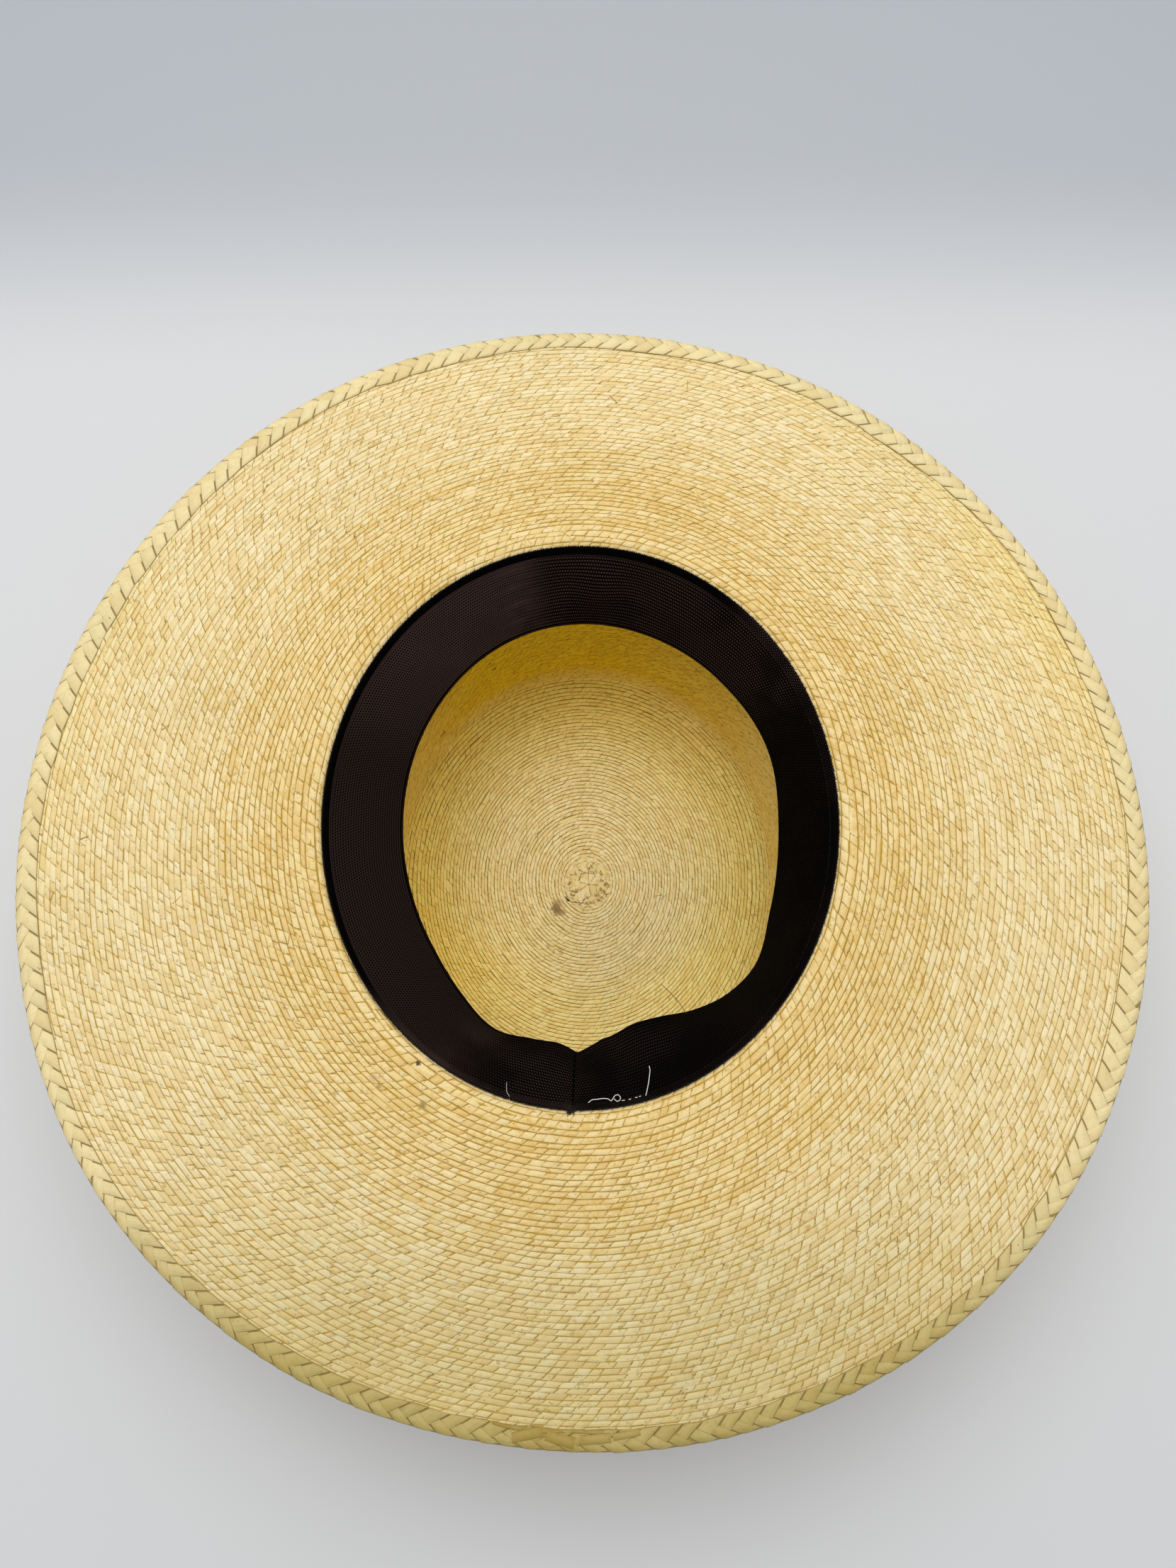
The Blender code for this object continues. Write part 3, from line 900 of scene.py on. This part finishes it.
def plaitSection(turn):
    # points across the binding, from its inner edge on top, round the fold, to the one below
    start = plateRing(turn, 0)
    edge = plateRing(turn, 1)
    length = np.linalg.norm(edge - start, axis=-1)
    up = np.array([0, 0, 1.0])
    out = np.stack([np.cos(turn), np.sin(turn), np.zeros_like(turn)], axis=-1)
    waver = 0.22 * np.sin(61 * turn + 1) + 0.18 * np.sin(97 * turn + 2.2 * np.sin(5 * turn))
    reach = (readRound(plait["reach"], 1, np.degrees(turn)) + waver) * mm
    fixed = plait["fixed"]
    backs = [fixed + (reach - fixed) * share for share in np.linspace(1, 0, 6)]
    backs += [fixed * share for share in (0.67, 0.33, 0.0)]
    flat = [plateRing(turn, 1 - back / length) for back in backs]
    rise, low, straw = plait["rise"], plait["innerRise"], hat["straw"]
    heights = [low + (rise - low) * share for share in np.linspace(0, 1, len(flat))]
    # partly painted shade: the first ring runs 0.2 mm in past the strands, so a thin strip of the
    # darker skin shows along the inner edge for the shadow gap between plait and brim
    inward = (start - edge) / length[..., None] * 0.2 * mm
    top = [flat[0] + inward + up * 0.1 * mm]
    top += [point + up * height for point, height in zip(flat, heights)]
    centre = edge - up * straw / 2
    half = straw / 2 + rise
    bend = [centre + out * rise * np.sin(angle) + up * half * np.cos(angle)
            for angle in np.radians([30, 62, 90, 118, 150])]
    under = [point - up * (straw + height) for point, height in zip(flat, heights)]
    return np.array(top + bend + under[::-1] + [flat[0] - up * (straw - 0.1 * mm)])


def makePlait():
    rings = plaitSection(turns)
    sizes = np.linalg.norm(np.diff(rings, axis=0), axis=-1).mean(axis=1)
    places = np.concatenate([[0], np.cumsum(sizes)])          # distance along the section
    first, last = places[1], places[-2]
    half = (last - first) / 2
    middle = places[6] - first                                 # where the two columns meet
    pitchCount = int(round(2 * pi * hat["brimRadius"] / plait["pitch"]))
    pitch = 1.0 / pitchCount                                   # in turns from here on
    perMm = pitch / plait["pitch"]
    inSlope, outSlope = (slope * perMm for slope in plait["slopes"])
    past = pitch / (2 * (inSlope + outSlope))     # a strand runs on this far past the middle
    shift = -(inSlope + outSlope) * (middle + past)
    rng = np.random.default_rng(31)
    cells = []
    jitter = rng.normal(0, 0.035, pitchCount * 4).clip(-0.08, 0.08) * pitch
    under = plait["under"]
    for step in range(pitchCount):
        for side in (0, 1):                # above, below
            k = step + 0.25 * side
            a, b, c, d = (jitter[(step * 4 + side * 2 + offset) % len(jitter)]
                          for offset in (0, 4, 1, 5))
            low, high = k * pitch + a, (k + 1) * pitch + b
            inner = [(low, 0), (low - inSlope * (middle - past + under), middle - past + under),
                     (high, 0), (high - inSlope * (middle + past + under), middle + past + under)]
            low, high = k * pitch + shift + c, (k + 1) * pitch + shift + d
            outer = [(high + outSlope * half, half),
                     (high + outSlope * (middle - past - under), middle - past - under),
                     (low + outSlope * half, half),
                     (low + outSlope * (middle + past - under), middle + past - under)]
            for cell in (inner, outer):
                if side:
                    cell = [cell[2], cell[3], cell[0], cell[1]]
                    cell = [(turn, last - first - far) for turn, far in cell]
                cells.append(cell)
    for azimuth, back, long, wide, heading in plait["leaves"]:
        far = middle + plait["fixed"] - back * mm
        cells.append([(azimuth / 360 + ahead * mm * perMm, far + aside * mm)
                      for ahead, aside in turnedCorners(long, wide, radians(heading))])
    cells = np.array(cells)
    leaves = len(plait["leaves"])
    rows = np.interp(first + cells[..., 1], places, np.arange(len(places))) / (len(places) - 1)
    corners = [cornerPoints(cells[:, i, 0] + 1, rows[:, i]) for i in range(4)]
    skin = gridMesh("plaitSkin", rings, flip=True)
    strandLook = strawMaterial("plaitStrand", 6 * mm, 4.6 * mm, 0.035, plait["look"])
    shapes = dict(plait["shapes"], upper=False, strandMaterial=strandLook)
    tone = 0.06 + 0.94 * rng.random(len(cells))
    tone[-leaves:] = np.linspace(0.0, 0.05, leaves)
    guide = guideMesh("edgePlait", corners, rng, tone)
    stand = np.zeros(len(cells) * 3, np.float32)
    guide.attributes["stand"].data.foreach_get("vector", stand)
    stand.reshape(-1, 3)[1::2, 2] += 5            # outer strands overlap like shingles
    stand.reshape(-1, 3)[0::2, 2] += 3
    stand.reshape(-1, 3)[-leaves:] = [(1.5 + 0.7 * step, 1, 1) for step in range(leaves)]
    guide.attributes["stand"].data.foreach_set("vector", stand)
    growStrands("edgePlait", skin, gapMaterial("plaitGap", (0.44, 0.31, 0.09)), guide, shapes,
                "edge_braid")


makePlait()
print("plait done")


# Sweatband: a knitted elastic strip, its lip sewn to the roll and its face leaning inwards

band = {
    "thick": 1.0 * mm,
    "lipTop": 50,                 # degrees up the roll at the far side
    "lipLower": 10,               # and this much less at the near side
    "lipFoot": radians(15),
    "faceWidth": 35 * mm,
    "columns": 420,
    "faceRows": 30,
    "lipRows": 7,
    "notchAt": radians(268.9),
    "notchDepth": 3.6 * mm,
    "notchHalf": radians(9),
    # azimuth that the wall looks to, and how far the free edge stands in from the stitched one
    "lean": [(0, 12.3), (20, 9.5), (40, 11.0), (65, 12.8), (90, 13.5), (120, 14.8), (150, 17.3),
             (185, 20.5), (210, 21.3), (225, 19.5), (240, 16.7), (252, 18.7), (270, 20.2),
             (280, 21.0), (290, 23.0), (300, 21.2), (310, 16.3), (320, 11.7), (330, 9.5),
             (342, 12.0)],
    # rows' pitch in mm and loops round the band, where it is slack and where it is stretched
    "slack": (1.6, 540),
    "stretched": (1.15, 560),
    "yarn": (0.062, 0.038, 0.034),
    "dark": (0.0012, 0.0010, 0.0010),
    "crease": (0.055, 0.05, 0.046),
    "seam": (0.0006, 0.0005, 0.0005),
    "beads": 740,
}


def lipAngle(turn, share):
    # from the lip's foot at 0 to its rim at 1, which lies lower on the near side
    near = np.clip(-np.sin(turn), 0, 1) ** 2
    rim = np.radians(band["lipTop"] - band["lipLower"] * near)
    return band["lipFoot"] + (rim - band["lipFoot"]) * share


def facePoint(turn, share):
    # on the face, from its stitched edge at 0 to its free edge at 1
    mouth = hat["mouth"]
    out = np.stack([np.cos(turn) / mouth[0], np.sin(turn) / mouth[1], np.zeros_like(turn)], axis=-1)
    out /= np.linalg.norm(out, axis=-1, keepdims=True)
    azimuth = np.arctan2(out[..., 1], out[..., 0]) % (2 * pi)
    reach = readRound(band["lean"], 1, np.degrees(azimuth)) * mm
    notch = (azimuth - band["notchAt"]) / band["notchHalf"]
    depth = np.maximum(0, 1 - abs(notch)) ** np.where(notch < 0, 1.7, 1.0)
    reach -= band["notchDepth"] * depth
    drop = np.sqrt(band["faceWidth"] ** 2 - reach ** 2)
    stitched = rollRing(turn, band["lipFoot"], hat["gap"] + band["thick"])
    up = np.array([0, 0, 1.0])
    point = stitched - share * (reach[..., None] * out + drop[..., None] * up)
    # soft bulges where the elastic is slack, fading at both edges
    slack = np.exp(-((azimuth - radians(92)) / radians(38)) ** 2)
    slack = 0.35 + slack + 0.25 * np.exp(-((azimuth - radians(285)) / radians(30)) ** 2)
    wave = 0.55 * np.sin(azimuth * 11 + 0.8) + 0.35 * np.sin(azimuth * 19 + 2.0)
    bulge = 0.9 * mm * slack * wave * np.sin(pi * min(1, share * 1.05)) ** 2
    return point + out * bulge[..., None]


def knitMaterial():
    # dots in rows where the band is slack, a fine brown mesh where it is stretched
    material, tree, inputs, place = newMaterial("knittedElastic", 0.8, 0.02)
    spot = addNode(tree, "ShaderNodeUVMap", {"uv_map": "UVMap"})
    around, across, unused = splitVector(spot)
    x, y, z = splitVector(place)
    totalRows = 2 * (band["faceRows"] + band["lipRows"]) + 1
    # mm from the free edge
    width = across * (totalRows * band["faceWidth"] / mm / band["faceRows"])
    wobble = noise(place, 45)
    fuzz = noise(place, 1500)
    patchy = noise(place, 40, 3.0)

    def loopAway(pitch, count):
        rows = width / pitch + wobble * 0.5
        parity = rows.floor() % 2
        up = abs(rows.fraction() - 0.5)
        side = abs((around * count + parity * 0.5).fraction() - 0.5)
        away = up * up * 1.3 + side * side
        return away.root() + (fuzz - 0.5) * 0.12

    dots = smoothMask(loopAway(*band["slack"]), 0.44, 0.18)
    mesh = smoothMask(loopAway(*band["stretched"]), 0.20, 0.46)
    taut = smoothMask(around, 0.27, 0.33) * smoothMask(around, 0.70, 0.64)
    yarn = mixValues(dots, mesh, taut)
    # painted light: the yarn is drawn brighter towards the far side of the band, which gets less
    # light; it is also brighter towards the left
    yarnLightZone = (0.38 - 6.5 * x + 32.0 * (y - 0.03).largest(0.0)).largest(0.1)
    slackness = mixValues(smoothMask(patchy, 0.35, 0.65) * 1.4 + 0.4, 0.5, taut)
    onLip = smoothMask(width, 35.8, 36.4)
    hem = smoothMask(abs(width - 1.2), 0.55, 0.25)
    lit = yarn * yarnLightZone * slackness * (1 + onLip) * (1 - hem)
    colour = mixColours(band["dark"], band["yarn"], lit)
    # black and smooth just under the lip's rim, on the far and left sides only
    farLeft = smoothMask(y * 0.9 - x, -0.01, 0.03)
    blackRim = smoothMask(width, 36.6, 37.0) * farLeft
    colour = colour.lay(band["dark"], blackRim)
    crease = smoothMask(abs(width - 35.4 + wobble * 0.8), 0.28, 0.08) * (1 - farLeft)
    colour = colour.lay(band["crease"], crease * smoothMask(fuzz, 0.35, 0.6))
    seam = smoothMask(abs(around - 0.7455 + (fuzz - 0.5) * 0.0004), 0.0009, 0.0004)
    colour = colour.lay(band["seam"], seam)
    feed(inputs["Base Color"], colour)
    feed(inputs["Normal"], bump(yarn * (1 - blackRim), 0.8, 0.3 * mm))
    return material


def makeSweatband():
    turn = roundTurns(band["columns"])
    rings = [facePoint(turn, share) for share in np.linspace(1, 0, band["faceRows"] + 1)]
    inside = hat["gap"] + band["thick"]
    rings += [rollRing(turn, lipAngle(turn, share), inside)
              for share in np.linspace(0, 1, band["lipRows"] + 1)[1:]]
    rings = np.array(rings)
    back = offsetRings(rings, band["thick"] * 0.8)
    loop = np.concatenate([rings, back[::-1], rings[:1]])
    mesh = gridMesh("elasticBand", loop, flip=True)
    builder = bmesh.new()
    builder.from_mesh(mesh)
    bmesh.ops.remove_doubles(builder, verts=builder.verts, dist=1e-7)
    builder.to_mesh(mesh)
    builder.free()
    mesh.materials.append(knitMaterial())
    piece = newPiece("elasticBand", mesh)
    dressPiece(piece, "sweatband")


def yarnMaterial(name, colour):
    return grainMaterial(name, colour, (0.7, 1), 2500, 0.2)


def buildBeadTree():
    # one small bead on each point of a guide
    tree, names, given = newTree("beadsOnEdge", [
        ("guide", "Geometry", None), ("radius", "Float", 0.3 * mm), ("seed", "Int", 3),
        ("beadMaterial", "Material", None)])
    bead = addNode(tree, "GeometryNodeMeshIcoSphere", sockets={
        "Radius": given["radius"], "Subdivisions": 1})
    size = addNode(tree, "FunctionNodeRandomValue", {"data_type": "FLOAT"},
                   {2: 0.75, 3: 1.25, "Seed": given["seed"]}, output=1)
    beads = addNode(tree, "GeometryNodeInstanceOnPoints", sockets={
        "Points": given["guide"], "Instance": bead, "Scale": size})
    beads = addNode(tree, "GeometryNodeRealizeInstances", sockets={0: beads})
    beads = addNode(tree, "GeometryNodeSetShadeSmooth", sockets={"Geometry": beads})
    beads = addNode(tree, "GeometryNodeSetMaterial", sockets={
        "Geometry": beads, "Material": given["beadMaterial"]})
    endTree(beads)
    return tree, names


def makeBeads():
    # the row of little loops along the band's stitched rim
    tree, names = buildBeadTree()
    rng = np.random.default_rng(41)
    count = band["beads"]
    turn = (np.arange(count) + rng.uniform(-0.2, 0.2, count)) / count * 2 * pi
    points = rollRing(turn, lipAngle(turn, 1.03), hat["gap"] + 0.55 * band["thick"])
    guide = bpy.data.meshes.new("rimBeads")
    guide.from_pydata(points.tolist(), [], [])
    piece = newPiece("rimBeads", guide)
    applyTree(piece, tree, names, {
        "radius": 0.36 * mm, "seed": 3,
        "beadMaterial": yarnMaterial("elasticEdge", (0.010, 0.008, 0.0075))})
    dressPiece(piece, "sweatband")


def tubePiece(name, lines, radius, material, sides=6):
    # round threads along smooth lines, with closed ends
    points, faces = [], []
    for line in lines:
        line = np.array(line, float)
        knots = np.arange(len(line))
        fine = np.linspace(0, len(line) - 1, 4 * len(line))
        path = np.stack([np.interp(fine, knots, line[:, axis]) for axis in range(3)], axis=-1)
        path[1:-1] = path[:-2] * 0.25 + path[1:-1] * 0.5 + path[2:] * 0.25
        ahead = np.gradient(path, axis=0)
        ahead /= np.linalg.norm(ahead, axis=-1, keepdims=True)
        aside = np.cross(ahead, [0.13, 0.21, 0.97])
        aside /= np.linalg.norm(aside, axis=-1, keepdims=True)
        above = np.cross(aside, ahead)
        start = len(points)
        for spot, right, up in zip(path, aside, above):
            points += [spot + radius * (right * np.cos(angle) + up * np.sin(angle))
                       for angle in roundTurns(sides)]
        for row in range(len(path) - 1):
            for side in range(sides):
                a, b = start + row * sides + side, start + row * sides + (side + 1) % sides
                faces.append((a, b, b + sides, a + sides))
        last = start + (len(path) - 1) * sides
        faces.append(tuple(range(start, start + sides))[::-1])
        faces.append(tuple(range(last, last + sides)))
    mesh = bpy.data.meshes.new(name)
    mesh.from_pydata([tuple(point) for point in points], [], faces)
    mesh.shade_smooth()
    mesh.update()
    mesh.materials.append(material)
    dressPiece(newPiece(name, mesh), "sweatband")


threads = {
    # places in mm, seen from above; heights come from the band under them
    "white": [[(2.0, -87.9), (3.2, -87.0), (4.7, -86.9), (6.8, -86.6), (8.4, -86.7), (9.3, -87.4),
               (9.8, -86.9), (10.6, -85.7), (11.7, -85.4), (12.5, -86.3), (12.1, -87.2),
               (11.2, -87.5), (10.3, -86.7)],
              [(12.8, -87.2), (13.7, -87.1)], [(15.0, -86.9), (15.7, -86.7)],
              [(17.1, -86.3), (17.8, -86.2)], [(18.3, -86.0), (18.9, -85.8)],
              [(20.5, -85.6), (21.1, -83.8), (21.7, -81.5), (22.4, -77.8), (22.2, -76.4)]],
    "pale": [[(-24.7, -81.5), (-24.4, -84.1), (-24.1, -84.9), (-23.4, -85.6), (-23.3, -87.3)]],
    "fibre": [[(36.3, -58.3, 83.5), (34.1, -54.7, 82.6), (30.9, -51.0, 82.0), (28.0, -48.3, 81.8)]],
    "lump": (-3.9, -89.4),
}


def makeThreads():
    turn = roundTurns(1440)
    inside = hat["gap"] + band["thick"]
    rings = [facePoint(turn, share) for share in np.linspace(0.4, 0, 40)]
    rings += [rollRing(turn, lipAngle(turn, share), inside) for share in np.linspace(0, 1, 20)[1:]]
    cloud = np.concatenate(rings)

    def onBand(x, y, above=0.25):
        nearest = cloud[((cloud[:, :2] - np.array([x, y]) * mm) ** 2).sum(axis=1).argmin()]
        return x * mm, y * mm, nearest[2] + above * mm

    white = [[onBand(*spot) for spot in line] for line in threads["white"]]
    tubePiece("whiteThread", white, 0.16 * mm, yarnMaterial("whiteYarn", (0.86, 0.85, 0.82)))
    pale = [[onBand(*spot) for spot in line] for line in threads["pale"]]
    tubePiece("paleThread", pale, 0.10 * mm, yarnMaterial("paleYarn", (0.62, 0.58, 0.52)))
    fibre = [[tuple(value * mm for value in spot) for spot in line] for line in threads["fibre"]]
    tubePiece("darkFibre", fibre, 0.11 * mm, yarnMaterial("darkYarn", (0.15, 0.095, 0.02)))
    rng = np.random.default_rng(51)
    lump = []
    for step in range(30):
        x, y = threads["lump"]
        place = np.array([x, y]) + rng.normal(0, (0.55, 0.8))
        heading = rng.uniform(0, 2 * pi)
        line = []
        for share in np.linspace(-1, 1, 5):
            bend = heading + 0.9 * share * rng.uniform(-1, 1)
            spot = place + 1.1 * share * np.array([np.cos(bend), 1.3 * np.sin(bend)])
            line.append(onBand(*spot, above=0.2 + 0.9 * (1 - share ** 2) * rng.random()))
        lump.append(line)
    tubePiece("frayedThread", lump, 0.11 * mm, yarnMaterial("frayedYarn", (0.018, 0.013, 0.010)),
              sides=5)


makeSweatband()
makeBeads()
makeThreads()
print("sweatband done")


# Camera, floor and light

def makeStage():
    # a floor that sweeps up behind the hat
    studio = {"front": -2.5, "bend": 0.31, "radius": 0.22, "height": 0.34, "half": 3.0}
    profile = [(studio["front"], 0.0), (studio["bend"], 0.0)]
    profile += [(studio["bend"] + studio["radius"] * np.sin(angle),
                 studio["radius"] * (1 - np.cos(angle)))
                for angle in np.radians(np.arange(7.5, 91, 7.5))]
    profile.append((studio["bend"] + studio["radius"], studio["height"]))
    rings = [[(x, y, z) for x in (-studio["half"], studio["half"])] for y, z in profile]
    floor = newPiece("studioFloor", gridMesh("studioFloor", rings, closedRound=False))
    material, tree, inputs, place = newMaterial("palePaper", 0.9, 0.5)
    paper = mixColours((0.77, 0.78, 0.80), (0.79, 0.80, 0.815), noise(place, 6))
    x, y, z = splitVector(place)
    # painted shade: greyer where it bends up, where less light falls
    paper = paper.lay((0.53, 0.56, 0.60), smoothMask(y, 0.24, 0.375) * 0.95)
    feed(inputs["Base Color"], paper)
    floor.data.materials.append(material)


def addLight(name, place, aim, energy, size):
    lamp = bpy.data.lights.new(name, "AREA")
    lamp.energy = energy
    lamp.color = (1.0, 0.99, 0.97)
    lamp.shape = "RECTANGLE"
    lamp.size, lamp.size_y = size
    holder = newPiece(name, lamp)
    holder.location = place
    holder.rotation_euler = (Vector(aim) - Vector(place)).to_track_quat("-Z", "Y").to_euler()


def makeCamera():
    lens = bpy.data.cameras.new("photoView")
    lens.lens = 27.03
    lens.sensor_width = 36
    lens.clip_start = 0.01
    camera = newPiece("photoView", lens)
    camera.location = (0.0019, -0.0766, 0.5042)
    camera.rotation_euler = (radians(13.5), 0, 0)
    bpy.context.scene.camera = camera


def makeWorld():
    world = bpy.data.worlds.new("softRoom")
    world.use_nodes = True
    backdrop = world.node_tree.nodes["Background"]
    backdrop.inputs["Color"].default_value = (0.97, 0.98, 1.0, 1)
    backdrop.inputs["Strength"].default_value = 0.47
    bpy.context.scene.world = world
    bpy.context.scene.view_settings.view_transform = "Standard"


makeStage()
makeCamera()
makeWorld()
addLight("softBox", (-0.05, 0.32, 1.2), (0, 0.05, 0.1), 8.2, (1.0, 0.7))
addLight("farBox", (0.0, 1.0, 0.8), (0, 0, 0.05), 1.5, (1.4, 0.4))
print("stage done")
